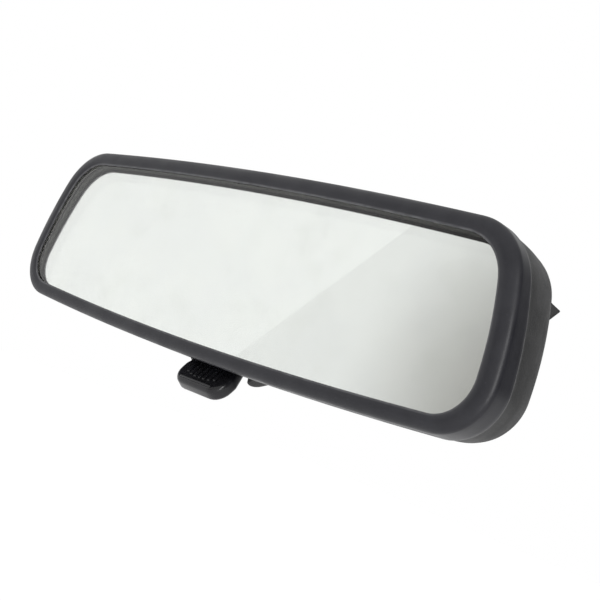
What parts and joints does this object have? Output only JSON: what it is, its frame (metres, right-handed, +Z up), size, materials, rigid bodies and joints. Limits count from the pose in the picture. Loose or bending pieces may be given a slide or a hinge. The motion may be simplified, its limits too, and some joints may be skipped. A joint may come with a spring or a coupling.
{
  "type": "interior rearview mirror",
  "caption": "Day/night interior rearview mirror: prismatic glass in a bezel and rear housing, toggle lever, ball-jointed stay arm and windshield foot.",
  "frame": {"origin": "centre of the adhesive pad's outer face, where the foot is glued to the windshield", "axes": "+X along the mirror head to the driver's right, +Y forward to the windshield, +Z up; the glass faces -Y"},
  "size_m": [0.2477, 0.1304, 0.0968],
  "materials": {
    "bezel_plastic": "satin, lightly textured",
    "housing_plastic": "matte, fine grain",
    "lever_plastic": "glossy black",
    "inner_plastic": "plain moulded",
    "glass": "polished, ground edge",
    "silvering": "mirror",
    "foam": "closed-cell foam",
    "rubber": "moulded rubber",
    "steel": "zinc-plated",
    "spring_steel": "spring steel",
    "black_casting": "black powder coat",
    "zinc": "sintered metal",
    "adhesive": "cured adhesive film"
  },
  "bodies": {
    "arm": {"ball_stud": "steel", "stay_arm": "black_casting", "windshield_foot": "black_casting", "foot_leaf_spring": "spring_steel", "set_screw": "steel", "foot_screw_left": "steel", "foot_screw_right": "steel", "windshield_button": "zinc", "adhesive_pad": "adhesive"},
    "cup": {"ball_cup": "inner_plastic"},
    "ring": {"clamp_ring": "spring_steel"},
    "carrier": {"toggle_carrier": "inner_plastic"},
    "head": {"bezel": "bezel_plastic", "prism_glass": "glass", "silvered_backing": "silvering", "glass_foam_pad": "foam", "rear_housing": "housing_plastic", "detent_spring": "spring_steel", "detent_spring_screw": "steel", "carrier_stop_pad": "rubber", "carrier_hinge_pin": "steel", "lever_pivot_pin": "steel"},
    "lever": {"toggle_lever": "lever_plastic", "lever_crank_pin": "steel"}
  },
  "joints": [
    {"name": "mirror_yaw", "type": "hinge", "parent": "arm", "child": "cup", "pos_m": [-0.03925, -0.08418, -0.04094], "axis": [0, 0, 1], "range_deg": [-50, 0]},
    {"name": "mirror_pitch", "type": "hinge", "parent": "cup", "child": "ring", "pos_m": [-0.03925, -0.08418, -0.04094], "axis": [1, 0, 0], "range_deg": [-15, 14]},
    {"name": "mirror_roll", "type": "hinge", "parent": "ring", "child": "carrier", "pos_m": [-0.03925, -0.08418, -0.04094], "axis": [0, 1, 0], "range_deg": [-12, 12]},
    {"name": "day_night_tilt", "type": "hinge", "parent": "carrier", "child": "head", "pos_m": [-0.03925, -0.09518, -0.02094], "axis": [1, 0, 0], "range_deg": [0, 4.5]},
    {"name": "lever_flip", "type": "hinge", "parent": "head", "child": "lever", "pos_m": [-0.03925, -0.08898, -0.06994], "axis": [1, 0, 0], "range_deg": [0, 50]}
  ],
  "couplings": [
    {"joint": "lever_flip", "follows": "day_night_tilt", "ratio": 11.11}
  ]
}
